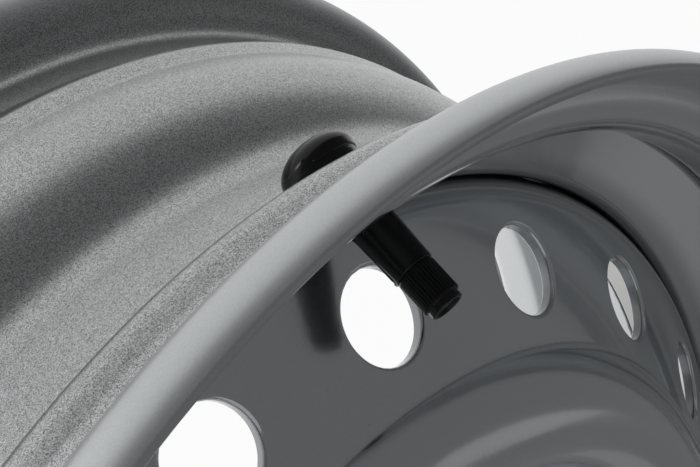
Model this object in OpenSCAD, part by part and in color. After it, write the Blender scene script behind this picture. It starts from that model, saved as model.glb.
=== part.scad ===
// Pressed steel wheel: a rolled rim, a vented disc welded into it and a rubber snap-in tyre valve.
// Millimetres. The wheel's axis is Z with the outer side up, and the origin is the centre of the hub face.
// The valve stands over +X.

/* [Rim] */
// Bead seat diameter at the flange
bead_seat_d = 380.2; // [372:0.2:390]
// Width between the flanges' faces on the tyre side
rim_w = 127; // [120:0.5:140]
// Hub face outwards from the middle of the rim
hub_offset = 40; // [37:0.5:44]
// Thickness of the rim's sheet
rim_t = 2.5; // [2:0.1:3]
// Flange height above the bead seat
flange_h = 17.3; // [16.8:0.1:18.5]
// Radius of the flange's curl on the tyre side
lip_r = 9.5; // [8.5:0.1:10]
// How far the curl turns past its top, in degrees
lip_turn = 37; // [28:1:45]
// Rounding of the flange's cut edge on its outer corner
lip_edge_r = 1.25; // [0.8:0.05:1.5]
// Radius at the bead heel
heel_r = 6.5; // [5:0.5:7]
// Taper of the bead seats, in degrees
seat_taper = 5; // [4:0.5:6]
// Hump crest inwards from the flange's face
hump_from_flange = 21.5; // [20:0.5:24]
// Hump's sharp crest above the bead seat
hump_h = 1.9; // [1.5:0.1:2.5]
// Length of the hump's outer foot
hump_foot = 6.5; // [5:0.5:8]
// Length of the inboard hump's foot on the ledge
ledge_foot = 5.5; // [4.5:0.5:7]
// Ledge beside the inboard hump, below the bead seat
ledge_drop = 0.5; // [0.2:0.1:1]
// Depth of the drop centre below the bead seat
well_depth = 17.3; // [16:0.1:19]
// Width of the drop centre's floor
well_w = 31.6; // [30:0.2:33]
// Foot of the steep wall inwards from the outer curl's centre
wall_foot_in = 45.95; // [45:0.05:47]
// Steepness of the wall that holds the valve, in degrees
wall_angle = 54.7; // [52:0.1:58]
// Width of the slope on the inboard side
slope_w = 14.2; // [14:0.1:17]

/* [Disc] */
// Thickness of the disc's sheet
disc_t = 3.5; // [3:0.1:4]
// Diameter of the centre bore
bore_d = 54.1; // [50:0.1:60]
// Height of the bore's neck above the hub face
neck_h = 16; // [14:0.5:18]
// Radius where the hub plate turns up to the crown
hub_plate_r = 92; // [88:0.5:95]
// Width of the crown's outer flank, from its sharp line to the valley
crown_w = 13; // [11:0.5:15]
// Height of the crown's sharp line above the hub face
crown_z = 33; // [30:0.2:34]
// Radius of the valley outside the crown
valley_r = 134; // [132:0.5:137]
// Height of the valley above the hub face
valley_z = 9.6; // [8:0.2:11]
// Slope of the cone that holds the vents, in degrees
vent_slope = 30; // [27:0.5:32]
// End of the skirt above the foot of the rim's slope
skirt_clear = 13.3; // [12:0.1:15]
// Clearance between the skirt and the rim
skirt_gap = 0.1; // [0.05:0.05:0.3]

/* [Vents and bolts] */
// Number of vents
vents = 18; // [12:1:20]
// Radius of the circle of vents
vent_circle_r = 150.5; // [147:0.5:153]
// Diameter of a vent
vent_d = 22.2; // [18:0.2:24]
// Angle of the first vent from the valve, in degrees
vent_phase = -1; // [-10:0.5:10]
// Number of wheel bolts
bolts = 4; // [3:1:6]
// Diameter of the bolt circle
bolt_circle_d = 100; // [98:0.1:114.3]
// Diameter of a bolt hole
bolt_hole_d = 14.4; // [12:0.1:15]
// Height of a bolt seat above the hub plate
seat_h = 4; // [3:0.5:5]
// Included angle of a bolt seat, in degrees
seat_cone = 60; // [55:1:90]

/* [Welds] */
// Number of weld runs
welds = 8; // [4:1:12]
// Length of a weld run, in degrees
weld_arc = 24; // [12:1:28]
// Leg of a weld run
weld_leg = 3.5; // [2.5:0.5:4]
// Clearance between a weld run and the rim
weld_gap = 0.05; // [0.02:0.01:0.1]

/* [Valve rubber] */
// Valve's axis up the wall from its foot
valve_up_wall = 8; // [7.6:0.1:9]
// Diameter of the valve's hole
valve_hole_d = 11.3; // [11:0.1:11.6]
// Diameter of the bulb
bulb_d = 18.4; // [17.4:0.1:19]
// Height of the bulb's dome above its widest ring
dome_h = 5.3; // [4.8:0.1:6.5]
// Widest ring of the bulb above the rim
bulb_up = 5.9; // [5.4:0.1:6.4]
// Diameter of the bulb's foot
bulb_foot_d = 14.6; // [14:0.1:15]
// Diameter of the shoulder that snaps in behind the rim
snap_d = 15; // [14:0.1:16]
// Length of that shoulder's taper
snap_l = 8.5; // [7:0.5:10]
// Diameter of the rubber stem below the shoulder
stem_root_d = 10.4; // [10:0.1:11]
// Diameter of the rubber stem at its end
stem_d = 9.5; // [9.3:0.1:9.9]
// Length of the rubber stem from the rim's tyre side
stem_l = 24.4; // [22:0.1:27]
// Clearance of the rubber at the rim and on the brass
rubber_gap = 0.05; // [0.02:0.01:0.1]

/* [Valve brass and cap] */
// Diameter of the threaded end
thread_d = 7.6; // [7.4:0.1:7.8]
// Length of the threaded end outside the rubber
thread_out = 7; // [6.5:0.1:8]
// Diameter of the brass inside the rubber
tube_d = 6.4; // [6.2:0.1:6.8]
// Diameter of the bore that holds the core
core_bore_d = 5.2; // [5:0.1:5.6]
// Diameter of the air passage
air_d = 3.2; // [2.6:0.1:3.6]
// Thread left under the rubber's end
thread_in = 4; // [3:0.5:5]
// Diameter of the cap over its ribs
cap_d = 9; // [8.8:0.1:9.6]
// Number of grooves round the cap
cap_grooves = 36; // [24:1:40]
// Radius of a groove
groove_r = 0.22; // [0.15:0.01:0.25]
// Clearance of the cap over the thread
cap_gap = 0.15; // [0.1:0.01:0.2]
// Gap between the rubber's end and the cap
cap_lift = 0.1; // [0.05:0.05:0.4]
// Thickness of the cap's seal
cap_seal_t = 0.5; // [0.4:0.05:0.8]
// Thickness of the cap's top
cap_top_t = 0.8; // [0.7:0.1:1.2]
// Diameter of the cap's plain tip
tip_d = 7.7; // [7.2:0.1:8]
// Length of the tip
tip_l = 1.85; // [1.4:0.05:2.4]
// Depth of the hollow in the tip's end
tip_hollow = 0.6; // [0.3:0.1:0.9]

/* [Valve core] */
// Length of the core's plug
plug_l = 4; // [3.5:0.1:5]
// Plug below the end of the stem
plug_down = 0.6; // [0.4:0.1:1]
// Length of the core's barrel
barrel_l = 7.6; // [7:0.1:9]
// Diameter of the barrel
barrel_d = 4.2; // [4:0.1:4.4]
// Wall at the barrel's lower end
barrel_end_t = 0.6; // [0.5:0.1:0.8]
// Diameter of the pin
pin_d = 1.2; // [1:0.1:1.3]
// Travel of the pin
pin_travel = 1.5; // [1:0.1:1.8]
// Diameter of the spring's wire
wire_d = 0.3; // [0.25:0.05:0.35]
// Turns of the spring
spring_turns = 6; // [4:1:8]
// Running clearance of the core's pieces
core_gap = 0.08; // [0.05:0.01:0.1]

/* [Hidden] */
$fn = 96;
bend_steps = 6;
lip_steps = 16;
edge_steps = 6;
dome_steps = 10;
cut = 1;

// Radii and heights of the rim's tyre-side line
seat_r = bead_seat_d / 2;
lip_c = seat_r + flange_h - lip_r;
lip_z = rim_w / 2 + lip_r - hub_offset;
low_z = -rim_w / 2 - lip_r - hub_offset;
hump_r = seat_r + hump_h;
hump_in = lip_r + hump_from_flange;
foot_in = hump_in - hump_foot;
foot_r = seat_r - (foot_in - lip_r) * tan(seat_taper);
ledge_r = seat_r - ledge_drop;
ledge_in = hump_in + ledge_foot;
well_r = seat_r - well_depth;
well_in_r = well_r - rim_t;
wall_foot_z = lip_z - wall_foot_in;
wall_top_z = wall_foot_z + (hump_r - well_r) / tan(wall_angle);
slope_foot_z = wall_foot_z - well_w;
slope_top_z = slope_foot_z - slope_w;

// Bend radii on the tyre side
hump_foot_bend = 6;
hump_crest_bend = 5;
ledge_bend = 3;
wall_foot_bend = 4;
slope_angle = atan((ledge_r - well_r) / slope_w);
slope_foot_bend = 15;
slope_top_widest = 30;
ledge_flat = 2;
ledge_room = slope_top_z - low_z - ledge_in - ledge_flat;
slope_top_bend = min(slope_top_widest, ledge_room / tan(slope_angle / 2));

// Corners of the tyre side from the outer flange to the inner one, each with its bend radius
rim_line = [
    [[lip_c, lip_z - lip_r], 0],
    [[seat_r, lip_z - lip_r], heel_r],
    [[foot_r, lip_z - foot_in], hump_foot_bend],
    [[hump_r, wall_top_z], hump_crest_bend],
    [[well_r, wall_foot_z], wall_foot_bend],
    [[well_r, slope_foot_z], slope_foot_bend],
    [[ledge_r, slope_top_z], slope_top_bend],
    [[ledge_r, low_z + ledge_in], ledge_bend],
    [[hump_r, low_z + hump_in], hump_crest_bend],
    [[foot_r, low_z + foot_in], hump_foot_bend],
    [[seat_r, low_z + lip_r], heel_r],
    [[lip_c, low_z + lip_r], 0]
];

// Radii and heights of the disc's outer face
bore_r = bore_d / 2;
neck_r = bore_r + disc_t;
skirt_r = well_in_r - skirt_gap;
shoulder_z = valley_z - (skirt_r - valley_r) * tan(vent_slope);
skirt_z = slope_foot_z + skirt_clear;
vent_z = valley_z - (vent_circle_r - valley_r) * tan(vent_slope);

// Bend radii on the disc's outer face
neck_bend = 3;
hub_bend = 10;
valley_bend = 6;
shoulder_bend = 11;

// The crown is a dome: its bend takes up its outer flank, as far as the valley's own bend leaves room
crown_r = valley_r - crown_w;
crown_out_angle = atan((crown_z - valley_z) / crown_w);
crown_in_angle = atan((crown_z - disc_t) / (crown_r - hub_plate_r));
crown_flank = norm([crown_w, crown_z - valley_z]);
crown_foot = 0.3;
crown_room = crown_flank - valley_bend * tan((crown_out_angle - vent_slope) / 2) - crown_foot;
crown_widest = 18.5;
crown_bend = min(crown_widest, crown_room / tan((crown_out_angle + crown_in_angle) / 2));

// Corners of the disc's outer face from the bore to the skirt, each with its bend radius
disc_line = [
    [[neck_r, neck_h], 0],
    [[neck_r, disc_t], neck_bend],
    [[hub_plate_r, disc_t], hub_bend],
    [[crown_r, crown_z], crown_bend],
    [[valley_r, valley_z], valley_bend],
    [[skirt_r, shoulder_z], shoulder_bend],
    [[skirt_r, skirt_z], 0]
];

// Bolt seats
bolt_r = bolt_hole_d / 2;
bolt_land = 2;
seat_top_z = disc_t + seat_h;
seat_top_r = bolt_r + (seat_top_z - bolt_land) * tan(seat_cone / 2);
boss_rim = 2;
boss_flare = 3.5;

// Valve, along its own axis from the rim's tyre side outwards
valve_at_r = well_r + valve_up_wall * sin(wall_angle);
valve_z = wall_foot_z + valve_up_wall * cos(wall_angle);
hole_r = valve_hole_d / 2;
bulb_r = bulb_d / 2;
ring_down = 1.8;
ring_up = bulb_up - ring_down;
ring_step = 0.45;
ring_in = 0.35;
ring_r = bulb_r - ring_in;
rubber_end_round = 0.5;
snap_land = 2;
stem_end = stem_l + thread_out;
tube_up = 1.5;
tube_start = -bulb_up - tube_up;
tube_flange_t = 2;
tube_flange_w = 2;
tube_flange_r = tube_d / 2 + tube_flange_w;
thread_r = thread_d / 2;
core_bore_r = core_bore_d / 2;
air_r = air_d / 2;

// Core, measured along the same axis
plug_top = stem_end - plug_down;
barrel_top = plug_top - plug_l;
barrel_start = barrel_top - barrel_l;
barrel_r = barrel_d / 2;
barrel_wall = 0.8;
barrel_bore_r = barrel_r - barrel_wall;
pin_r = pin_d / 2;
pin_bore_r = pin_r + core_gap;
collar_t = 0.6;
collar_r = barrel_bore_r - core_gap;
collar_top = barrel_top - core_gap;
spring_start = barrel_start + barrel_end_t;
spring_l = collar_top - collar_t - spring_start;
wire_r = wire_d / 2;
spring_r = collar_r - wire_r;
spring_slices = 12;
wire_points = 12;
spring_room = 0.02;
cup_seal_t = 0.7;
cup_t = 1.3;
cup_wall = 0.35;
cup_in = 0.2;
cup_r = barrel_r - cup_in;
cup_seal_r = cup_r - cup_wall - core_gap;
pin_head_w = 0.3;
pin_head_r = pin_r + pin_head_w;
pin_head_t = 0.6;
pin_foot = barrel_start - cup_seal_t - cup_t;
core_room = 1;
core_floor = pin_foot - pin_head_t - pin_travel - core_room;
seal_ring_t = 1.6;
seal_ring_up = 4.4;
seal_ring_start = barrel_start + seal_ring_up;
slot_w = 1.3;
slot_h = 1.4;

// Cap, measured along the same axis
cap_start = stem_l + cap_lift;
cap_ceiling = stem_end + cap_seal_t;
cap_shoulder = cap_ceiling + cap_top_t;
cap_end = cap_shoulder + tip_l;
cap_r = cap_d / 2;
cap_bore_r = thread_r + cap_gap;
tip_r = tip_d / 2;
tip_wall = 0.75;

function unit(v) = v / norm(v);
function left(v) = [-v.y, v.x];
function turn(u, v) = atan2(u.x * v.y - u.y * v.x, u * v);
function spin(v, a) = [v.x * cos(a) - v.y * sin(a), v.x * sin(a) + v.y * cos(a)];
function reversed(list) = [for (k = [len(list) - 1:-1:0]) list[k]];

// Points of an arc, both ends included
function arc(centre, r, from, to, steps) =
    [for (k = [0:steps]) centre + spin([r, 0], from + (to - from) * k / steps)];

// Points of the bend at b on the way from a to c, moved d to the right of that way
function bend(a, b, c, r, d) =
    let (
        way = unit(b - a),
        angle = turn(way, unit(c - b)),
        side = sign(angle),
        centre = b - way * r * tan(abs(angle) / 2) + left(way) * side * r,
        arm = -left(way) * side * (r + side * d)
    )
    [for (k = [0:bend_steps]) centre + spin(arm, angle * k / bend_steps)];

// All the bends of a line, moved d to its right
function bends(line, d) =
    [for (k = [1:len(line) - 2]) each bend(line[k - 1][0], line[k][0], line[k + 1][0], line[k][1], d)];

// The rim's line from one curl to the other, at depth d in the sheet
function rim_path(d) = concat(
    arc([lip_c, lip_z], lip_r - d, lip_turn, -90, lip_steps),
    bends(rim_line, d),
    arc([lip_c, low_z], lip_r - d, 90, -lip_turn, lip_steps)
);

// The cut edge of a curl that ends at an angle: round on its outer corner, sharp on its inner one
function curl_edge(z, angle, side) =
    let (
        curl_c = [lip_c, z],
        corner = curl_c + spin([lip_r - lip_edge_r, 0], angle),
        points = arc(corner, lip_edge_r, angle, angle + side * 90, edge_steps)
    )
    concat(
        [for (k = [1:edge_steps]) points[k]],
        [curl_c + spin([lip_r - rim_t, side * lip_edge_r], angle)]
    );

// The disc's line from the neck to the skirt, at depth d in the sheet
function disc_path(d) = concat(
    [disc_line[0][0] - [d, 0]],
    bends(disc_line, d),
    [disc_line[len(disc_line) - 1][0] - [d, 0]]
);

// Places a piece on the valve's axis, with Z along the stem
module on_valve() {
    translate([valve_at_r, 0, valve_z])
        rotate([0, wall_angle - 90, 0])
            children();
}

// A turned ring or rod along the valve's axis
module turned(r, from, to, bore = 0) {
    rotate_extrude()
        translate([bore, from])
            square([r - bore, to - from]);
}

module rim() {
    color("silver")
        difference() {
            rotate_extrude()
                polygon(concat(
                    rim_path(0),
                    curl_edge(low_z, -lip_turn, -1),
                    reversed(rim_path(rim_t)),
                    reversed(curl_edge(lip_z, lip_turn, 1))
                ));
            on_valve()
                translate([0, 0, -cut])
                    cylinder(r = hole_r, h = rim_t + 2 * cut);
        }
}

module disc() {
    color("slategray")
        difference() {
            union() {
                rotate_extrude()
                    polygon(concat(disc_path(0), reversed(disc_path(disc_t))));
                on_bolt_circle()
                    translate([0, 0, disc_t / 2])
                        cylinder(
                            r1 = seat_top_r + boss_rim + boss_flare,
                            r2 = seat_top_r + boss_rim,
                            h = seat_h + disc_t / 2
                        );
            }
            on_bolt_circle()
                translate([0, 0, -cut])
                    cylinder(r = bolt_r, h = seat_top_z + 2 * cut);
            on_bolt_circle()
                translate([0, 0, bolt_land])
                    cylinder(r1 = bolt_r, r2 = seat_top_r, h = seat_top_z - bolt_land);
            for (k = [0:vents - 1])
                rotate([0, 0, vent_phase + k * 360 / vents])
                    translate([vent_circle_r, 0, vent_z])
                        rotate([0, vent_slope, 0])
                            translate([0, 0, -disc_t - cut])
                                cylinder(d = vent_d, h = disc_t + 2 * cut);
        }
}

module on_bolt_circle() {
    for (k = [0:bolts - 1])
        rotate([0, 0, (k + 0.5) * 360 / bolts])
            translate([bolt_circle_d / 2, 0, 0])
                children();
}

module weld_beads() {
    outer = well_in_r - weld_gap;
    color("gray")
        for (k = [0:welds - 1])
            rotate([0, 0, (k + 0.5) * 360 / welds - weld_arc / 2])
                rotate_extrude(angle = weld_arc)
                    polygon([[outer, skirt_z], [outer - weld_leg, skirt_z], [outer, skirt_z - weld_leg]]);
}

module valve_body() {
    dome = [for (k = [0:dome_steps]) let (a = 90 * k / dome_steps)
        [bulb_r * sin(a), -bulb_up - dome_h * cos(a)]];
    foot = [
        [ring_r, -ring_up],
        [ring_r - ring_step, -ring_up + ring_step],
        [bulb_foot_d / 2, -rubber_gap],
        [hole_r - rubber_gap, -rubber_gap],
        [hole_r - rubber_gap, rim_t + rubber_gap],
        [snap_d / 2, rim_t + rubber_gap],
        [snap_d / 2, rim_t + snap_land],
        [stem_root_d / 2, rim_t + snap_l],
        [stem_d / 2, stem_l - rubber_end_round],
        [stem_d / 2 - rubber_end_round, stem_l],
        [0, stem_l]
    ];
    color("black")
        on_valve()
            rotate_extrude()
                difference() {
                    polygon(concat(dome, foot));
                    brass_section(rubber_gap);
                    square_along(air_r, -bulb_up - dome_h - cut, tube_start);
                }
}

// A rectangle on the valve's axis in the section plane
module square_along(r, from, to) {
    translate([0, from])
        square([r, to - from]);
}

// The outline of the brass tube in the section plane, grown by a gap
module brass_section(gap) {
    square_along(tube_flange_r + gap, tube_start - gap, tube_start + tube_flange_t + gap);
    square_along(tube_d / 2 + gap, tube_start, stem_end);
    square_along(thread_r + gap, stem_l - thread_in - gap, stem_end);
}

module valve_stem() {
    color("goldenrod")
        on_valve()
            rotate_extrude()
                difference() {
                    brass_section(0);
                    square_along(air_r, tube_start - cut, stem_end);
                    square_along(core_bore_r, core_floor, stem_end + cut);
                }
}

module core_plug() {
    color("goldenrod")
        on_valve()
            difference() {
                turned(core_bore_r - core_gap, barrel_top, plug_top, pin_bore_r);
                translate([-core_bore_r, -slot_w / 2, plug_top - slot_h])
                    cube([core_bore_r * 2, slot_w, slot_h + cut]);
            }
}

module core_barrel() {
    color("goldenrod")
        on_valve() {
            turned(barrel_r, barrel_start, spring_start, pin_bore_r);
            turned(barrel_r, spring_start, barrel_top, barrel_bore_r);
        }
}

module core_seal() {
    color("firebrick")
        on_valve()
            turned(
                core_bore_r - core_gap / 2,
                seal_ring_start,
                seal_ring_start + seal_ring_t,
                barrel_r + core_gap / 2
            );
}

// The round wire's cut by a plane across the spring is a long oval, bent round the spring's axis
module core_spring() {
    lead = atan2(spring_l / spring_turns, 2 * PI * spring_r);
    reach = wire_r / sin(lead) / spring_r * 180 / PI;
    oval = [for (k = [0:wire_points - 1]) let (a = 360 * k / wire_points)
        spin([spring_r - spring_room + wire_r * cos(a), 0], reach * sin(a))];
    color("lightgray")
        on_valve()
            translate([0, 0, spring_start])
                linear_extrude(
                    height = spring_l,
                    twist = -360 * spring_turns,
                    slices = spring_turns * spring_slices,
                    $fn = wire_points
                )
                    polygon(oval);
}

module core_pin() {
    color("goldenrod")
        on_valve() {
            turned(pin_r, pin_foot, plug_top + plug_down / 2);
            turned(collar_r, collar_top - collar_t, collar_top);
            turned(pin_head_r, pin_foot - pin_head_t, pin_foot);
        }
}

module core_cup() {
    color("goldenrod")
        on_valve()
            difference() {
                turned(cup_r, pin_foot, pin_foot + cup_t + cup_seal_t / 2, pin_r + core_gap / 2);
                translate([0, 0, pin_foot + cup_t])
                    cylinder(r = cup_r - cup_wall, h = cup_seal_t);
            }
}

module cup_seal() {
    color("black")
        on_valve()
            turned(cup_seal_r, pin_foot + cup_t, barrel_start, pin_r + core_gap / 2);
}

module valve_cap() {
    color("black")
        on_valve()
            difference() {
                union() {
                    turned(cap_r, cap_start, cap_shoulder);
                    turned(tip_r, cap_shoulder, cap_end);
                }
                translate([0, 0, cap_start - cut])
                    cylinder(r = cap_bore_r, h = cap_ceiling - cap_start + cut);
                translate([0, 0, cap_end - tip_hollow])
                    cylinder(r = tip_r - tip_wall, h = tip_hollow + cut);
                for (k = [0:cap_grooves - 1])
                    rotate([0, 0, k * 360 / cap_grooves])
                        translate([cap_r, 0, cap_start + groove_r])
                            cylinder(r = groove_r, h = cap_shoulder - cap_start, $fn = 16);
            }
}

module cap_seal() {
    color("dimgray")
        on_valve()
            turned(thread_r, stem_end, cap_ceiling);
}

rim();
disc();
weld_beads();
valve_body();
valve_stem();
core_plug();
core_barrel();
core_seal();
core_spring();
core_pin();
core_cup();
cup_seal();
valve_cap();
cap_seal();
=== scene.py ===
"""Looks of a pressed steel wheel rim with a vented disc and a snap-in tyre valve, over its CAD model."""

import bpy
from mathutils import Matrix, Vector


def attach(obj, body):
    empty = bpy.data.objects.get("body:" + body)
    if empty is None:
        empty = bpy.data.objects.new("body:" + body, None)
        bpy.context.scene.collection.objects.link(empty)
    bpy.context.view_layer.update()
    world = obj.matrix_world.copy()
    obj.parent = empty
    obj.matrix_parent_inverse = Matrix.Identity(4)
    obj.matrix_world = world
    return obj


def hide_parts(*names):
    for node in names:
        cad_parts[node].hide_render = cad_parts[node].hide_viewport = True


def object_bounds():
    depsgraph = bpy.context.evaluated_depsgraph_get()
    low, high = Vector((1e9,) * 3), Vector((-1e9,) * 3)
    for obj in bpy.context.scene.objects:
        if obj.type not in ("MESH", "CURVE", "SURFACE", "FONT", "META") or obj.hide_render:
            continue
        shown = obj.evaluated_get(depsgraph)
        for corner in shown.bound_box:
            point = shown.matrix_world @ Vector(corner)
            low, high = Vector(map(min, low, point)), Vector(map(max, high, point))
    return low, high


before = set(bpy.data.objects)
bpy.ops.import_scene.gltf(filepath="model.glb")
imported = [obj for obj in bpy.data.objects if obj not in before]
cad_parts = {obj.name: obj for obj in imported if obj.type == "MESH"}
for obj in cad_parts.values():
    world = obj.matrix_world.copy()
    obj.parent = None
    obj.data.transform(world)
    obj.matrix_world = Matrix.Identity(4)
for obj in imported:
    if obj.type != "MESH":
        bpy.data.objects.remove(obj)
CAD_BOX = [list(corner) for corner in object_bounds()]

import math

import bmesh
import bpy
import numpy as np
from mathutils import Matrix, Vector

bl_info = {
    "name": "Steel Wheel Rim",
    "version": (1, 0, 0),
    "blender": (4, 5, 0),
    "location": "3D View > Sidebar > Wheel",
    "description": "Builds a pressed steel wheel rim with a vented disc and a snap-in tyre valve",
    "category": "Add Mesh",
}

# Steps round the wheel, which the vents and the bolts divide evenly
AROUND = 252
# Steps round a small turned piece
ROUND = 64
# Points closer than this become one
WELD = 1e-6
# Edges that turn further than this stay sharp
SHARP = math.radians(40)


def length(name, default, description):
    return bpy.props.FloatProperty(
        name=name, description=description, default=default, precision=5, unit="LENGTH")


def angle(name, degrees, description):
    return bpy.props.FloatProperty(
        name=name, description=description, default=math.radians(degrees), subtype="ANGLE")


def count(name, default, description):
    return bpy.props.IntProperty(name=name, description=description, default=default, min=1)


def colour(name, default, description):
    return bpy.props.FloatVectorProperty(
        name=name, description=description, default=default, size=3, min=0, max=1, subtype="COLOR")


def power(name, default, description):
    return bpy.props.FloatProperty(name=name, description=description, default=default, min=0, unit="POWER")


class RimSizes(bpy.types.PropertyGroup):
    """Sizes of the rolled rim."""

    bead_seat_d: length("Bead seat", 0.3802, "Bead seat diameter at the flange")
    width: length("Width", 0.127, "Width between the flanges' faces on the tyre side")
    hub_offset: length("Hub offset", 0.040, "Hub face outwards from the middle of the rim")
    sheet: length("Sheet", 0.0025, "Thickness of the rim's sheet")
    flange_h: length("Flange height", 0.0173, "Flange height above the bead seat")
    lip_r: length("Curl radius", 0.0095, "Radius of the flange's curl on the tyre side")
    lip_turn: angle("Curl turn", 37, "How far the curl turns past its top")
    lip_edge_r: length("Edge rounding", 0.00125, "Rounding of the flange's cut edge on its outer corner")
    heel_r: length("Heel radius", 0.0065, "Radius at the bead heel")
    seat_taper: angle("Seat taper", 5, "Taper of the bead seats")
    hump_from_flange: length("Hump place", 0.0215, "Hump crest inwards from the flange's face")
    hump_h: length("Hump height", 0.0019, "Hump's sharp crest above the bead seat")
    hump_foot: length("Hump foot", 0.0065, "Length of the hump's outer foot")
    ledge_foot: length("Ledge foot", 0.0055, "Length of the inboard hump's foot on the ledge")
    ledge_drop: length("Ledge drop", 0.0005, "Ledge below the bead seat")
    well_depth: length("Well depth", 0.0173, "Depth of the drop centre below the bead seat")
    well_w: length("Well width", 0.0316, "Width of the drop centre's floor")
    wall_foot_in: length("Wall foot", 0.04595, "Foot of the steep wall inwards from the outer curl's centre")
    wall_angle: angle("Wall angle", 54.7, "Steepness of the wall that holds the valve")
    slope_w: length("Slope width", 0.0142, "Width of the slope on the inboard side")
    foot_bend: length("Foot bend", 0.006, "Bend radius at a hump's outer foot")
    hump_bend: length("Hump bend", 0.005, "Bend radius at a hump's crest")
    wall_bend: length("Wall bend", 0.004, "Bend radius at the foot of the steep wall")
    slope_bend: length("Slope bend", 0.015, "Bend radius at the foot of the slope")
    slope_top_bend: length("Slope top bend", 0.030, "Bend radius at the top of the slope")
    ledge_bend: length("Ledge bend", 0.003, "Bend radius at the inboard hump's foot on the ledge")
    inner_edge_r: length("Inner edge", 0.00018, "Rounding of the flange's cut edge on its inner corner")


class DiscSizes(bpy.types.PropertyGroup):
    """Sizes of the pressed disc and its welds."""

    sheet: length("Sheet", 0.0035, "Thickness of the disc's sheet")
    bore_d: length("Bore", 0.0541, "Diameter of the centre bore")
    neck_h: length("Neck height", 0.016, "Height of the bore's neck above the hub face")
    hub_plate_r: length("Hub plate radius", 0.092, "Radius where the hub plate turns up to the crown")
    crown_r: length("Crown radius", 0.121, "Radius of the crown's sharp line")
    crown_z: length("Crown height", 0.033, "Height of the crown's sharp line above the hub face")
    valley_r: length("Valley radius", 0.134, "Radius of the valley outside the crown")
    valley_z: length("Valley height", 0.0096, "Height of the valley above the hub face")
    vent_slope: angle("Vent slope", 30, "Slope of the cone that holds the vents")
    skirt_clear: length("Skirt end", 0.0133, "End of the skirt above the foot of the rim's slope")
    skirt_gap: length("Skirt gap", 0.0001, "Clearance between the skirt and the rim")
    vents: count("Vents", 18, "Number of vents")
    vent_circle_r: length("Vent circle", 0.1505, "Radius of the circle of vents")
    vent_d: length("Vent diameter", 0.0222, "Diameter of a vent")
    vent_phase: angle("Vent phase", -1, "Angle of the first vent from the valve")
    vent_round: length("Vent rounding", 0.0012, "Radius of the punched edge on a vent's outer side")
    bolts: count("Bolts", 4, "Number of wheel bolts")
    bolt_circle_d: length("Bolt circle", 0.100, "Diameter of the bolt circle")
    bolt_hole_d: length("Bolt hole", 0.0144, "Diameter of a bolt hole")
    seat_h: length("Bolt seat", 0.004, "Height of a bolt seat above the hub plate")
    seat_cone: angle("Seat cone", 60, "Included angle of a bolt seat")
    welds: count("Welds", 8, "Number of weld runs")
    weld_arc: angle("Weld length", 24, "Length of a weld run")
    weld_leg: length("Weld leg", 0.0035, "Leg of a weld run")
    neck_bend: length("Neck bend", 0.003, "Bend radius at the foot of the neck")
    hub_bend: length("Hub bend", 0.010, "Bend radius where the hub plate turns up")
    crown_bend: length("Crown bend", 0.0185, "Bend radius of the crown")
    valley_bend: length("Valley bend", 0.006, "Bend radius of the valley")
    shoulder_bend: length("Shoulder bend", 0.011, "Bend radius where the cone turns down to the skirt")
    edge_r: length("Edge rounding", 0.0008, "Rounding of the neck's and the skirt's cut edges")
    burr_r: length("Vent burr", 0.0004, "Radius of the punched edge on a vent's inner side")


class ValveSizes(bpy.types.PropertyGroup):
    """Sizes of the snap-in valve."""

    up_wall: length("Up the wall", 0.008, "Valve's axis up the wall from its foot")
    hole_d: length("Hole", 0.0113, "Diameter of the valve's hole")
    bulb_d: length("Bulb", 0.0184, "Diameter of the bulb")
    dome_h: length("Dome", 0.0053, "Height of the bulb's dome above its widest ring")
    bulb_up: length("Bulb height", 0.0059, "Widest ring of the bulb above the rim")
    foot_d: length("Bulb foot", 0.0146, "Diameter of the bulb's foot")
    snap_d: length("Shoulder", 0.015, "Diameter of the shoulder that snaps in behind the rim")
    snap_l: length("Shoulder taper", 0.0085, "Length of that shoulder's taper")
    stem_root_d: length("Stem root", 0.0104, "Diameter of the rubber stem below the shoulder")
    stem_d: length("Stem", 0.0095, "Diameter of the rubber stem at its end")
    stem_l: length("Stem length", 0.0244, "Length of the rubber stem from the rim's tyre side")
    thread_d: length("Thread", 0.0076, "Diameter of the threaded end")
    thread_out: length("Thread length", 0.007, "Length of the threaded end outside the rubber")
    thread_pitch: length("Thread pitch", 0.0008, "Pitch of the thread")
    tube_d: length("Tube", 0.0064, "Diameter of the brass inside the rubber")
    core_bore_d: length("Core bore", 0.0052, "Diameter of the bore that holds the core")
    air_d: length("Air passage", 0.0032, "Diameter of the air passage")
    cap_d: length("Cap", 0.009, "Diameter of the cap over its ribs")
    cap_grooves: count("Cap grooves", 36, "Number of grooves round the cap")
    cap_lift: length("Cap gap", 0.0001, "Gap between the rubber's end and the cap")
    tip_d: length("Tip", 0.0077, "Diameter of the cap's plain tip")
    tip_l: length("Tip length", 0.00185, "Length of the tip")
    tube_up: length("Tube end", 0.0015, "End of the brass above the bulb's widest ring")
    anchor_w: length("Anchor width", 0.002, "Width of the brass collar inside the bulb")
    anchor_h: length("Anchor height", 0.002, "Height of that collar")
    thread_in: length("Thread root", 0.004, "Length of the thicker brass inside the rubber's end")
    core_depth: length("Core depth", 0.0178, "Depth of the bore that holds the core")
    cap_room: length("Cap room", 0.0005, "Room between the stem's end and the cap")
    cap_top: length("Cap top", 0.0008, "Thickness of the cap over the stem")


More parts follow.
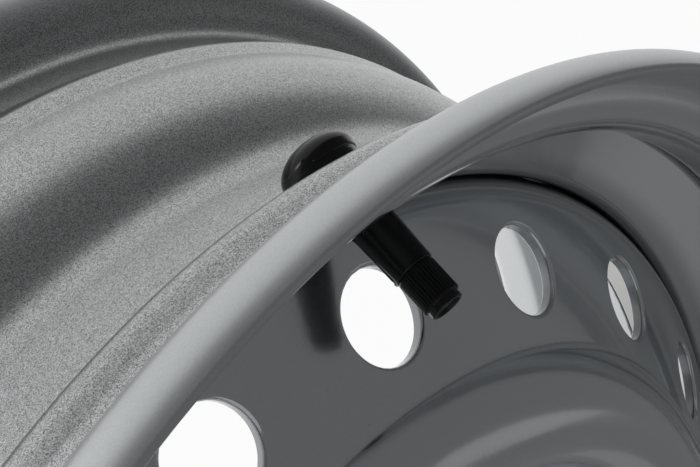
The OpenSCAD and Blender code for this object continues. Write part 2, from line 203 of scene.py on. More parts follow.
class Finishes(bpy.types.PropertyGroup):
    """Colours of the finishes."""

    paint: colour("Paint", (0.58, 0.60, 0.61), "Silver paint of the rim's outer side")
    disc_paint: colour("Disc paint", (0.575, 0.597, 0.622), "Silver paint of the disc")
    grain_light: colour("Light grain", (0.64, 0.65, 0.652), "Light grains of the dry paint on the tyre side")
    grain_dark: colour("Dark grain", (0.05, 0.051, 0.052), "Dark grains of the dry paint on the tyre side")
    weld_paint: colour("Weld", (0.26, 0.265, 0.27), "Thin paint over the weld runs")
    rubber: colour("Rubber", (0.004, 0.0043, 0.0046), "Black rubber of the valve")
    cap: colour("Cap", (0.003, 0.003, 0.0033), "Black plastic of the cap")
    brass: colour("Brass", (0.70, 0.52, 0.25), "Turned brass of the stem and core")
    spring: colour("Spring", (0.55, 0.55, 0.56), "Spring wire")
    seal_red: colour("Red seal", (0.40, 0.045, 0.035), "Ring round the core")
    seal_black: colour("Black seal", (0.02, 0.02, 0.02), "Washers of the core and the cap")
    disc_under: colour("Disc underside", (0.42, 0.415, 0.40), "Thin paint on the disc's hidden side")
    nibs: colour("Nibs", (0.05, 0.05, 0.05), "Specks of dirt in the disc's paint")
    soot: colour("Soot", (0.07, 0.06, 0.055), "Soot on the weld runs")
    lint: colour("Lint", (0.16, 0.16, 0.155), "Dust on the valve's rubber")
    cap_worn: colour("Worn cap", (0.008, 0.008, 0.0085), "Cap where its ribs are worn")
    tarnish: colour("Tarnish", (0.36, 0.23, 0.10), "Tarnish on the brass")


class StageSettings(bpy.types.PropertyGroup):
    """Floor, lamps and lens of the picture."""

    floor: colour("Floor", (0.90, 0.90, 0.90), "Plain pale floor")
    floor_r: length("Floor radius", 20.0, "Radius of the floor")
    fill: power("Fill", 3.0, "Large soft box behind the camera")
    strip: power("Strip", 0.062, "Weak strip of light over the wheel's far side")
    wall: power("Wall", 0.100, "Weak light from the studio's far wall")
    spark: power("Spark", 0.10, "Small soft box beside the wheel")
    sky: bpy.props.FloatProperty(
        name="Sky", description="Brightness of the studio's walls", default=0.165, min=0)
    lens: bpy.props.FloatProperty(name="Lens", description="Focal length in mm", default=79.69)


def unit(v):
    return v / math.hypot(v[0], v[1])


def left(v):
    return np.array((-v[1], v[0]))


def spun(v, turn):
    c, s = math.cos(turn), math.sin(turn)
    return np.array((v[0] * c - v[1] * s, v[0] * s + v[1] * c))


def arc(centre, r, start, end, steps):
    """Points of an arc, both ends included."""
    turns = np.linspace(start, end, steps + 1)
    return np.stack((centre[0] + r * np.cos(turns), centre[1] + r * np.sin(turns)), axis=1)


def bend(a, b, c, r, depth, steps):
    """Points of the bend at b on the way from a to c, moved by depth to the right of that way."""
    a, b, c = (np.array(p, float) for p in (a, b, c))
    way, onward = unit(b - a), unit(c - b)
    turn = math.atan2(way[0] * onward[1] - way[1] * onward[0], way @ onward)
    side = math.copysign(1, turn)
    centre = b - way * r * math.tan(abs(turn) / 2) + left(way) * side * r
    arm = -left(way) * side * (r + side * depth)
    return np.array([centre + spun(arm, turn * k / steps) for k in range(steps + 1)])


def bends(corners, depth=0.0, steps=6):
    """Bends at the inner corners of a line, one array for each."""
    return [bend(corners[k - 1][0], corners[k][0], corners[k + 1][0], corners[k][1], depth, steps)
            for k in range(1, len(corners) - 1)]


def turned(section, turns):
    """Points of a section of radii and heights turned about Z, as rows of columns."""
    section = np.asarray(section, float)
    r, z = section[:, 0, None], section[:, 1, None]
    turns = np.asarray(turns)[None, :]
    return np.stack((r * np.cos(turns), r * np.sin(turns), z + 0 * turns), axis=2)


def full_turn(steps, start=0.0):
    return start + np.arange(steps) * (2 * math.pi / steps)


class Shell:
    """Collects the faces of one piece."""

    def __init__(self):
        self.points = []
        self.faces = []

    def grid(self, rows, close_rows=False):
        """Adds the faces between neighbouring points of a grid whose columns go round."""
        n, m = rows.shape[:2]
        start = len(self.points)
        self.points.extend(map(tuple, rows.reshape(-1, 3)))
        for i in range(n if close_rows else n - 1):
            for j in range(m):
                a, b = start + i * m, start + (i + 1) % n * m
                k = (j + 1) % m
                self.faces.append((a + j, a + k, b + k, b + j))

    def cap(self, ring):
        """Closes a ring of points."""
        start = len(self.points)
        self.points.extend(map(tuple, ring))
        self.faces.append(tuple(range(start, start + len(ring))))

    def make(self, name, place=None):
        """The welded, smooth object of these faces."""
        mesh = bpy.data.meshes.new(name)
        mesh.from_pydata(self.points, [], self.faces)
        if place is not None:
            mesh.transform(place)
        work = bmesh.new()
        work.from_mesh(mesh)
        bmesh.ops.remove_doubles(work, verts=work.verts, dist=WELD)
        bmesh.ops.recalc_face_normals(work, faces=work.faces)
        work.to_mesh(mesh)
        work.free()
        smooth(mesh)
        piece = bpy.data.objects.new(name, mesh)
        bpy.context.scene.collection.objects.link(piece)
        return piece


def smooth(mesh):
    mesh.polygons.foreach_set("use_smooth", [True] * len(mesh.polygons))
    mesh.set_sharp_from_angle(angle=SHARP)


def even_shading(piece):
    """Keeps flat faces flat beside their small bends."""
    shade = piece.modifiers.new("even_shading", "WEIGHTED_NORMAL")
    shade.keep_sharp = True


def cut_away(piece, cutter):
    """Cuts a closed cutter out of a piece and removes the cutter."""
    tool = piece.modifiers.new("cut", "BOOLEAN")
    tool.operation = "DIFFERENCE"
    tool.solver = "EXACT"
    tool.object = cutter
    shape = bpy.context.evaluated_depsgraph_get()
    mesh = bpy.data.meshes.new_from_object(piece.evaluated_get(shape))
    piece.modifiers.clear()
    old = piece.data
    piece.data = mesh
    mesh.name = old.name
    bpy.data.meshes.remove(old)
    bpy.data.objects.remove(cutter)
    smooth(mesh)


def mark(piece, name, values):
    """Stores one number for each point of a piece, for its finish."""
    layer = piece.data.attributes.new(name, "FLOAT", "POINT")
    layer.data.foreach_set("value", np.asarray(values, np.float32))


def points_of(piece):
    flat = np.empty(len(piece.data.vertices) * 3, np.float32)
    piece.data.vertices.foreach_get("co", flat)
    return flat.reshape(-1, 3)


def dress(piece, finish, slot, body, *nodes):
    """Gives a new piece its finish and its place on a CAD body, and lets it stand for CAD nodes."""
    piece.data.materials.clear()
    piece.data.materials.append(finish)
    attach(piece, body)
    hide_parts(*nodes)


class Flow:
    """A socket of a finish that takes part in Python expressions."""

    def __init__(self, finish, socket):
        self.finish = finish
        self.socket = socket

    def math(self, operation, first, second):
        return self.finish.node("ShaderNodeMath", {"operation": operation}, {0: first, 1: second})

    def __add__(self, other):
        return self.math("ADD", self, other)

    def __radd__(self, other):
        return self.math("ADD", other, self)

    def __sub__(self, other):
        return self.math("SUBTRACT", self, other)

    def __rsub__(self, other):
        return self.math("SUBTRACT", other, self)

    def __mul__(self, other):
        return self.math("MULTIPLY", self, other)

    def __rmul__(self, other):
        return self.math("MULTIPLY", other, self)

    def __gt__(self, other):
        return self.math("GREATER_THAN", self, other)


class Finish:
    """A material with its Principled shader, built from expressions."""

    def __init__(self, name, **constants):
        self.material = bpy.data.materials.new(name)
        self.material.use_nodes = True
        self.tree = self.material.node_tree
        self.shader = self.tree.nodes["Principled BSDF"]
        for key, value in constants.items():
            self.input(key).default_value = value

    def input(self, key):
        return self.shader.inputs[key.replace("_", " ").title().replace("Ior", "IOR")]

    def feed(self, socket, value):
        if isinstance(value, Flow):
            self.tree.links.new(value.socket, socket)
        else:
            socket.default_value = value

    def node(self, kind, settings=None, sockets=None, out=0):
        """A new node with its settings, its sockets' values or links, and the output that is used."""
        node = self.tree.nodes.new(kind)
        for key, value in (settings or {}).items():
            if key == "stops":
                self.stops(node.color_ramp, value)
            else:
                setattr(node, key, value)
        for key, value in (sockets or {}).items():
            self.feed(node.inputs[key], value)
        return Flow(self, node.outputs[out])

    def stops(self, ramp, stops):
        while len(ramp.elements) < len(stops):
            ramp.elements.new(1.0)
        for element, (at, tone) in zip(ramp.elements, stops):
            element.position = at
            element.color = (*tone, 1.0) if isinstance(tone, tuple) else (tone, tone, tone, 1.0)

    def place(self):
        return self.node("ShaderNodeTexCoord", out="Object")

    def height(self):
        return self.node("ShaderNodeSeparateXYZ", sockets={0: self.place()}, out="Z")

    def marked(self, name):
        """The numbers that a piece's points hold under a name."""
        return self.node("ShaderNodeAttribute", {"attribute_name": name}, out="Fac")

    def fade(self, value, start, end):
        """Goes smoothly from nought at the start to one at the end."""
        return self.node("ShaderNodeMapRange", {"interpolation_type": "SMOOTHSTEP"}, {
            "Value": value, "From Min": start, "From Max": end})

    def noise(self, scale, detail=2.0, roughness=0.5):
        return self.node("ShaderNodeTexNoise", sockets={
            "Vector": self.place(), "Scale": scale, "Detail": detail, "Roughness": roughness})

    def cells(self, scale, out="Color"):
        return self.node("ShaderNodeTexVoronoi", sockets={"Vector": self.place(), "Scale": scale}, out=out)

    def ramp(self, value, stops):
        return self.node("ShaderNodeValToRGB", {"stops": stops}, {"Fac": value})

    def blend(self, amount, first, second, how="MIX"):
        return self.node("ShaderNodeMix", {"data_type": "RGBA", "blend_type": how}, {
            0: amount, 6: as_colour(first), 7: as_colour(second)}, 2)

    def tint(self, tone, amount, base):
        """A colour with its brightness moved by a value about a half."""
        grey = 1.0 + (tone - 0.5) * amount
        return self.blend(1.0, base, grey, "MULTIPLY")

    def bump(self, height, distance, strength=1.0, normal=None):
        sockets = {"Height": height, "Distance": distance, "Strength": strength}
        if normal is not None:
            sockets["Normal"] = normal
        return self.node("ShaderNodeBump", sockets=sockets)

    def set(self, **sockets):
        for key, value in sockets.items():
            self.feed(self.input(key), value)
        return self.material


def as_colour(value):
    return value if isinstance(value, Flow) else (*value, 1.0)


def rim_finish(tones):
    """Glossy metallic paint with orange peel, satin on the lips, dry and grainy on the tyre side, with
    painted shade inside the well next to the disc.
    """
    f = Finish("rim_paint", metallic=0.95, coat_roughness=0.05)
    grain = f.marked("grain")
    flat = f.node("ShaderNodeVectorMath", {"operation": "MULTIPLY"}, {0: f.place(), 1: (1.0, 1.0, 0.0)})
    reach = f.node("ShaderNodeVectorMath", {"operation": "LENGTH"}, {0: flat}, "Value")
    satin = f.fade(reach, 0.1945, 0.2005)
    under = f.fade(f.height(), -0.022, -0.030)
    # Painted shade: the paint inside the well, next to the crevice with the disc, is darkened to stand for
    # shadow there
    crevice_shade = f.fade(reach, 0.1790, 0.1725)
    shaded = (1.0 - grain) * (1.0 - under)
    cloud = f.noise(14, 3)
    peel = f.noise(310, 2, 0.55)
    flake = f.cells(4200)
    base = f.tint(cloud, 0.08, f.tint(flake, 0.12, tuple(tones.paint)))
    # The lips are a little darker; inside the well next to the disc the base carries the painted shade
    base = f.blend(1.0, base, 1.0 - 0.14 * satin - 0.48 * crevice_shade * shaded, "MULTIPLY")
    dust = f.noise(4200, 2, 0.6)
    crumbs = f.cells(6000)
    speckle = f.ramp(0.55 * crumbs + 0.45 * dust, [
        (0.20, tuple(tones.grain_dark)), (0.76, tuple(tones.grain_light))])
    dry = f.tint(cloud, 0.12, speckle)
    skin = f.bump(peel, 0.00007, 0.20 - 0.10 * satin)
    crumb = f.bump(crumbs + dust, 0.00006, grain * 0.38, skin)
    return f.set(
        base_color=f.blend(grain, base, dry),
        roughness=0.18 + 0.04 * peel + satin * 0.25 + grain * 0.10 + under * (1.0 - grain) * 0.18,
        coat_weight=(1.0 - grain) * (1.0 - 0.8 * satin),
        normal=crumb)


def disc_finish(tones):
    """Glossy metallic paint with orange peel and a few nibs, thinner below, with painted shade on the vents'
    cut walls.
    """
    f = Finish("disc_paint", metallic=0.95, coat_weight=1.0, coat_roughness=0.04)
    cloud = f.noise(18, 3)
    peel = f.noise(310, 2, 0.55)
    fine = f.noise(1500, 2, 0.6)
    flake = f.cells(4200)
    nib = f.cells(160, out="Distance")
    base = f.tint(cloud, 0.08, f.tint(flake, 0.12, tuple(tones.disc_paint)))
    dirt = 1.0 - (nib > 0.03)
    under = f.fade(f.height(), -0.015, -0.020)
    base = f.blend(under, base, tuple(tones.disc_under))
    cut = f.marked("cut")
    # Painted shade: the vents' punched walls are darkened to stand for the shade inside the holes
    base = f.blend(1.0, base, 1.0 - 0.58 * cut, "MULTIPLY")
    return f.set(
        base_color=f.blend(dirt * 0.5, base, tuple(tones.nibs)),
        roughness=0.16 + 0.04 * peel + 0.20 * under + 0.14 * cut,
        normal=f.bump(peel + 0.12 * fine, 0.00007, 0.30))


def weld_finish(tones):
    """Thin, uneven paint over rippled weld."""
    f = Finish("weld_paint", metallic=0.35)
    soot = f.noise(160, 4, 0.65)
    pits = f.noise(1100, 3, 0.7)
    base = f.ramp(soot, [(0.32, tuple(tones.soot)), (0.58, tuple(tones.weld_paint))])
    return f.set(base_color=base, roughness=0.38 + 0.3 * pits, normal=f.bump(pits, 0.0001, 0.5))


def rubber_finish(tones):
    """Moulded black rubber with a little dust."""
    f = Finish("valve_rubber", specular_ior_level=0.25)
    bloom = f.noise(120, 4, 0.6)
    skin = f.noise(1500, 3, 0.6)
    lint = f.cells(420, out="Distance")
    dust = (1.0 - (lint > 0.06)) * (bloom > 0.52)
    base = f.tint(bloom, 0.8, tuple(tones.rubber))
    return f.set(
        base_color=f.blend(dust * 0.5, base, tuple(tones.lint)),
        roughness=0.12 + 0.12 * bloom + 0.06 * skin,
        normal=f.bump(skin, 0.00004, 0.4))


def cap_finish(tones):
    """Moulded black plastic, worn a little paler on its ribs."""
    f = Finish("cap_plastic", specular_ior_level=0.3)
    wear = f.noise(500, 3, 0.6)
    skin = f.noise(2400, 2)
    base = f.ramp(wear, [(0.35, tuple(tones.cap)), (0.80, tuple(tones.cap_worn))])
    return f.set(base_color=base, roughness=0.15 + 0.16 * wear, normal=f.bump(skin, 0.00003, 0.4))


def brass_finish(tones, name):
    """Turned brass, a little tarnished."""
    f = Finish(name, metallic=1.0)
    tarnish = f.noise(260, 4, 0.6)
    lathe_marks = f.noise(5200, 1)
    base = f.ramp(tarnish, [(0.30, tuple(tones.tarnish)), (0.62, tuple(tones.brass))])
    return f.set(base_color=base, roughness=0.24 + 0.22 * tarnish, normal=f.bump(lathe_marks, 0.00002, 0.3))


def seal_finish(name, tone):
    """Matte rubber of a seal."""
    f = Finish(name)
    skin = f.noise(1800, 3)
    return f.set(
        base_color=f.tint(f.noise(300, 3), 0.5, tuple(tone)), roughness=0.58 + 0.2 * skin,
        normal=f.bump(skin, 0.00003, 0.4))


def spring_finish(tones):
    """Drawn steel wire."""
    f = Finish("spring_steel", metallic=1.0)
    draw = f.noise(3000, 2)
    return f.set(
        base_color=f.tint(draw, 0.3, tuple(tones.spring)), roughness=0.25 + 0.2 * draw,
        normal=f.bump(draw, 0.00002, 0.3))


class RimLine:
    """Radii and heights of the rim's tyre-side line."""

    CURL_STEPS = 26
    # Turns of the curl between which the paint goes from smooth to grainy
    GRAIN_START = math.radians(-25)
    GRAIN_FULL = math.radians(-80)

    def __init__(self, s):
        self.sheet = s.sheet
        self.lip_r = s.lip_r
        self.lip_turn = s.lip_turn
        self.edge_r = s.lip_edge_r
        self.inner_edge_r = s.inner_edge_r
        self.seat_r = s.bead_seat_d / 2
        self.lip_c = self.seat_r + s.flange_h - s.lip_r
        self.lip_z = s.width / 2 + s.lip_r - s.hub_offset
        self.low_z = -s.width / 2 - s.lip_r - s.hub_offset
        hump_r = self.seat_r + s.hump_h
        hump_in = s.lip_r + s.hump_from_flange
        foot_in = hump_in - s.hump_foot
        foot_r = self.seat_r - (foot_in - s.lip_r) * math.tan(s.seat_taper)
        ledge_r = self.seat_r - s.ledge_drop
        self.well_r = self.seat_r - s.well_depth
        self.well_in_r = self.well_r - s.sheet
        self.wall_angle = s.wall_angle
        self.wall_foot_z = self.lip_z - s.wall_foot_in
        wall_top_z = self.wall_foot_z + (hump_r - self.well_r) / math.tan(s.wall_angle)
        self.slope_foot_z = self.wall_foot_z - s.well_w
        slope_top_z = self.slope_foot_z - s.slope_w
        self.corners = [
            ((self.lip_c, self.lip_z - s.lip_r), 0),
            ((self.seat_r, self.lip_z - s.lip_r), s.heel_r),
            ((foot_r, self.lip_z - foot_in), s.foot_bend),
            ((hump_r, wall_top_z), s.hump_bend),
            ((self.well_r, self.wall_foot_z), s.wall_bend),
            ((self.well_r, self.slope_foot_z), s.slope_bend),
            ((ledge_r, slope_top_z), s.slope_top_bend),
            ((ledge_r, self.low_z + hump_in + s.ledge_foot), s.ledge_bend),
            ((hump_r, self.low_z + hump_in), s.hump_bend),
            ((foot_r, self.low_z + foot_in), s.foot_bend),
            ((self.seat_r, self.low_z + s.lip_r), s.heel_r),
            ((self.lip_c, self.low_z + s.lip_r), 0),
        ]

    def curl(self, z, start, end, depth):
        return arc((self.lip_c, z), self.lip_r - depth, start, end, self.CURL_STEPS)

    def edge(self, z, turn, side):
        """The cut edge of a curl, round on its outer corner and nearly sharp on its inner one."""
        big, small, quarter = self.edge_r, self.inner_edge_r, math.pi / 2
        outer = arc((self.lip_r - big, 0), big, 0, quarter, 7)[1:]
        inner = arc((self.lip_r - self.sheet + small, big - small), small, quarter, 2 * quarter, 3)
        local = np.concatenate([outer, inner]) * (1, side)
        return np.array([(self.lip_c, z) + spun(v, turn) for v in local])

    def side(self, depth):
        """One side of the sheet, from the outer curl to the inner one."""
        return np.concatenate([
            self.curl(self.lip_z, self.lip_turn, -math.pi / 2, depth),
            *bends(self.corners, depth),
            self.curl(self.low_z, math.pi / 2, -self.lip_turn, depth)])

    def section(self):
        """The closed section, with how grainy the paint is at each point."""
        tyre_side = self.side(0.0)
        grain = np.ones(len(tyre_side))
        curl = np.linspace(self.lip_turn, -math.pi / 2, self.CURL_STEPS + 1)
        fade = np.clip((curl - self.GRAIN_START) / (self.GRAIN_FULL - self.GRAIN_START), 0, 1)
        grain[:len(fade)] = fade
        grain[-len(fade):] = fade[::-1]
        low = self.edge(self.low_z, -self.lip_turn, -1)
        inner = self.side(self.sheet)[::-1]
        high = self.edge(self.lip_z, self.lip_turn, 1)[::-1]
        rest = np.zeros(len(low) + len(inner) + len(high))
        return np.concatenate([tyre_side, low, inner, high]), np.concatenate([grain, rest])


class ValveAxis:
    """The valve's axis and lengths along it from the rim's tyre side."""

    def __init__(self, line, v):
        tilt = line.wall_angle
        at_r = line.well_r + v.up_wall * math.sin(tilt)
        at_z = line.wall_foot_z + v.up_wall * math.cos(tilt)
        self.place = Matrix.Translation((at_r, 0, at_z)) @ Matrix.Rotation(tilt - math.pi / 2, 4, "Y")
        self.stem_end = v.stem_l + v.thread_out
        self.tube_start = -v.bulb_up - v.tube_up
        self.cap_start = v.stem_l + v.cap_lift
        self.cap_ceiling = self.stem_end + v.cap_room
        self.cap_shoulder = self.cap_ceiling + v.cap_top
        self.cap_end = self.cap_shoulder + v.tip_l


class Maker:
    """What the operators share."""

    bl_options = {"REGISTER", "UNDO"}

    def sizes(self, context):
        scene = context.scene
        return scene.wheel_rim, scene.wheel_disc, scene.wheel_valve, scene.wheel_finishes


class WHEEL_OT_rim(Maker, bpy.types.Operator):
    """Rolls the rim with its curled flanges, humps, drop centre and valve hole"""

    bl_idname = "wheel.rim"
    bl_label = "Rim"

    # The valve hole's cutter passes the sheet by this much on either side
    CUT_PAST = 0.002
    # Points that are compared with the section at a time
    BATCH = 4096

    def execute(self, context):
        rim, _, valve, tones = self.sizes(context)
        line = RimLine(rim)
        section, grain = line.section()
        shell = Shell()
        shell.grid(turned(section, full_turn(AROUND)), close_rows=True)
        piece = shell.make("rim_shell")
        hole = Shell()
        hole_r = valve.hole_d / 2
        wall = turned([(hole_r, -self.CUT_PAST), (hole_r, rim.sheet + self.CUT_PAST)], full_turn(ROUND))
        hole.grid(wall)
        hole.cap(wall[0])
        hole.cap(wall[1])
        cut_away(piece, hole.make("valve_hole", ValveAxis(line, valve).place))
        mark(piece, "grain", self.grain_marks(section, grain, points_of(piece)))
        even_shading(piece)
        dress(piece, rim_finish(tones), "rim_paint", "wheel", "rim")
        return {"FINISHED"}

    def grain_marks(self, section, grain, spots):
        """How grainy the paint is at each point, from the nearest point of the section."""
        reach = np.hypot(spots[:, 0], spots[:, 1])
        marks = np.empty(len(spots))
        for start in range(0, len(spots), self.BATCH):
            some = slice(start, start + self.BATCH)
            across = reach[some, None] - section[None, :, 0]
            along = spots[some, 2, None] - section[None, :, 1]
            marks[some] = grain[np.hypot(across, along).argmin(axis=1)]
        return marks


class DiscLine:
    """Radii and heights of the disc's outer face."""

    # The vents' sectors start this far outside the valley's sharp line and end at this radius
    VALLEY_CLEAR = 0.0016
    SECTOR_END = 0.1640

    def __init__(self, d, line):
        self.sheet = d.sheet
        self.edge_r = d.edge_r
        self.bore_r = d.bore_d / 2
        self.neck_r = self.bore_r + d.sheet
        self.neck_h = d.neck_h
        self.slope = math.tan(d.vent_slope)
        self.valley_r, self.valley_z = d.valley_r, d.valley_z
        self.skirt_r = line.well_in_r - d.skirt_gap
        self.skirt_z = line.slope_foot_z + d.skirt_clear
        self.corners = [
            ((self.neck_r, d.neck_h), 0),
            ((self.neck_r, d.sheet), d.neck_bend),
            ((d.hub_plate_r, d.sheet), d.hub_bend),
            ((d.crown_r, d.crown_z), d.crown_bend),
            ((d.valley_r, d.valley_z), d.valley_bend),
            ((self.skirt_r, self.cone(self.skirt_r)), d.shoulder_bend),
            ((self.skirt_r, self.skirt_z), 0),
        ]
        self.back = np.array((-math.sin(d.vent_slope), -math.cos(d.vent_slope))) * d.sheet
        self.cone_start = d.valley_r + self.VALLEY_CLEAR
        self.cone_end = self.SECTOR_END

    def cone(self, r, depth=0.0):
        """Height of the vents' cone at a radius, on a face at a depth in the sheet."""
        drop = depth * math.sqrt(1 + self.slope ** 2)
        return self.valley_z - (r - self.valley_r) * self.slope - drop


def frame_of(low, high, turns_low, turns_high, turn_steps, r_steps):
    """Angles and radii round a sector's edge, corner to corner without repeats."""
    along = np.linspace(turns_low, turns_high, turn_steps + 1)
    out = np.linspace(low, high, r_steps + 1)
    pairs = [(t, low) for t in along[:-1]] + [(turns_high, r) for r in out[:-1]]
    pairs += [(t, high) for t in along[:0:-1]] + [(turns_low, r) for r in out[:0:-1]]
    return np.array(pairs)


class WHEEL_OT_disc(Maker, bpy.types.Operator):
    """Presses the disc with its vents, crown, hub plate, bolt seats and neck"""

    bl_idname = "wheel.disc"
    bl_label = "Disc"

    # Radii of the hub plate's ring that holds the bolt seats
    HUB_IN = 0.0344
    HUB_OUT = 0.0720
    # Top of a bolt seat, the land in its hole, its flank, and where its rings end on either side of the sheet
    SEAT_TOP = 0.002
    SEAT_LAND = 0.002
    SEAT_FLANK = 0.0035
    SEAT_END_R = 0.0154
    SEAT_BACK_R = 0.012
    # A vent's punched wall reaches this far past its radius and along its axis
    CUT_PAST = 0.0001
    CUT_REACH = 0.012
    # Steps of the sheet's bends, of the neck's edges and of the other edges
    BEND_STEPS = 16
    NECK_STEPS = 5
    EDGE_STEPS = 4
    # Steps along a vent's sector, rings on its face and its back, and steps of its hole's two edges
    SECTOR_STEPS = 14
    FACE_RINGS = 7
    BACK_RINGS = 5
    ROUND_STEPS = 7
    BURR_STEPS = 3
    # Rings stand closer together towards the hole by this power, and settle on the cone in this many rounds
    CLOSER = 0.8
    ROUNDS = 6
    # Steps along a bolt's sector and rings on each of its sides
    BOLT_STEPS = 12
    BOLT_RINGS = 6

    def execute(self, context):
        rim, d, _, tones = self.sizes(context)
        line = DiscLine(d, RimLine(rim))
        start = d.vent_phase - math.pi / d.vents
        turns = full_turn(AROUND, start)
        shell = Shell()
        self.rings(shell, line, turns)
        for k in range(d.vents):
            self.vent(shell, d, line, d.vent_phase + 2 * math.pi * k / d.vents)
        self.bolts(shell, d, turns)
        piece = shell.make("disc_shell")
        mark(piece, "cut", self.cut_marks(d, line, points_of(piece)))
        even_shading(piece)
        dress(piece, disc_finish(tones), "disc_paint", "wheel", "disc")
        return {"FINISHED"}

    def cut_marks(self, d, line, spots):
        """One at each point on a vent's punched wall, nought elsewhere."""
        edge, tilt = d.vent_d / 2 + self.CUT_PAST, d.vent_slope
        marks = np.zeros(len(spots))
        for k in range(d.vents):
            turn = d.vent_phase + 2 * math.pi * k / d.vents
            out = np.array((math.cos(turn), math.sin(turn), 0.0))
            centre = out * d.vent_circle_r + (0, 0, line.cone(d.vent_circle_r))
            axis = out * math.sin(tilt) + (0, 0, math.cos(tilt))
            far = spots - centre
            inside = np.linalg.norm(np.cross(far, axis), axis=1) < edge
            marks[inside & (np.abs(far @ axis) < self.CUT_REACH)] = 1.0
        return marks

    def rings(self, shell, line, turns):
        """The turned zones between the vents and the bolt seats."""
        r, t = line.edge_r, line.sheet
        neck, hub, crown, valley, shoulder = bends(line.corners, 0.0, self.BEND_STEPS)
        neck_in, hub_in, crown_in, valley_in, shoulder_in = bends(line.corners, t, self.BEND_STEPS)
        top = bends([((line.bore_r, 0), 0), ((line.bore_r, line.neck_h), r), ((line.neck_r, line.neck_h), r),
                     ((line.neck_r, 0), 0)], 0.0, self.NECK_STEPS)
        shell.grid(turned(np.concatenate([
            [(self.HUB_IN, 0)], neck_in[::-1], *top, neck, [(self.HUB_IN, t)]]), turns))
        shell.grid(turned(np.concatenate([
            [(self.HUB_OUT, t)], hub, crown, valley,
            [(line.cone_start, line.cone(line.cone_start))]]), turns))
        foot = bends([((line.skirt_r, 0), 0), ((line.skirt_r, line.skirt_z), r),
                      ((line.skirt_r - t, line.skirt_z), r),
                      ((line.skirt_r - t, 0), 0)], 0.0, self.EDGE_STEPS)
        inner_start, inner_end = line.cone_start + line.back[0], line.cone_end + line.back[0]
        shell.grid(turned(np.concatenate([
            [(line.cone_end, line.cone(line.cone_end))], shoulder, *foot, shoulder_in[::-1],
            [(inner_end, line.cone(inner_end, t))]]), turns))
        shell.grid(turned(np.concatenate([
            [(inner_start, line.cone(inner_start, t))], valley_in[::-1], crown_in[::-1], hub_in[::-1],
            [(self.HUB_OUT, 0)]]), turns))

    def vent(self, shell, d, line, turn):
        """One sector of the cone with its punched hole."""
        half = math.pi / d.vents
        steps = AROUND // d.vents
        outer = frame_of(line.cone_start, line.cone_end, -half, half, steps, self.SECTOR_STEPS)
        inner = outer + (0, line.back[0])
        tilt = d.vent_slope
        centre = np.array((d.vent_circle_r, 0, line.cone(d.vent_circle_r)))
        down_slope = np.array((math.cos(tilt), 0, -math.sin(tilt)))
        across = np.array((0.0, 1.0, 0.0))
        normal = np.array((math.sin(tilt), 0, math.cos(tilt)))
        phi = np.arctan2(outer[:, 1] * np.sin(outer[:, 0]), (outer[:, 1] - d.vent_circle_r) / math.cos(tilt))
        spoke = np.cos(phi)[:, None] * down_slope + np.sin(phi)[:, None] * across

        def on_face(rho, depth):
            """Points at a distance from the vent's axis, on a face at a depth in the sheet."""
            base = centre + rho * spoke
            lift = np.zeros(len(phi))
            for _ in range(self.ROUNDS):
                p = base + lift[:, None] * normal
                lift -= (p[:, 2] - line.cone(np.hypot(p[:, 0], p[:, 1]), depth)) * math.cos(tilt)
            return base + lift[:, None] * normal

        def flat_rings(edge, hole, depth, steps):
            """Rings on the cone from the sector's edge to the hole."""
            ring = np.stack((np.arctan2(hole[:, 1], hole[:, 0]), np.hypot(hole[:, 0], hole[:, 1])), axis=1)
            for w in np.linspace(0, 1, steps + 1)[:-1] ** self.CLOSER:
                at = edge * (1 - w) + ring * w
                yield np.stack((at[:, 1] * np.cos(at[:, 0]), at[:, 1] * np.sin(at[:, 0]),
                                line.cone(at[:, 1], depth)), axis=1)

        r, q, burr, t = d.vent_d / 2, d.vent_round, d.burr_r, line.sheet
        rows = list(flat_rings(outer, on_face(r + q, 0.0), 0.0, self.FACE_RINGS))
        for a in np.linspace(0, math.pi / 2, self.ROUND_STEPS + 1):
            rows.append(on_face(r + q * (1 - math.sin(a)), 0.0) - normal * q * (1 - math.cos(a)))
        for a in np.linspace(math.pi / 2, 0, self.BURR_STEPS + 1):
            rows.append(on_face(r + burr * (1 - math.sin(a)), t) + normal * burr * (1 - math.cos(a)))
        rows += list(flat_rings(inner, on_face(r + burr, t), t, self.BACK_RINGS))[::-1]
        rows = np.array(rows)
        c, s = math.cos(turn), math.sin(turn)
        x, y = rows[..., 0].copy(), rows[..., 1].copy()
        rows[..., 0], rows[..., 1] = x * c - y * s, x * s + y * c
        shell.grid(rows)

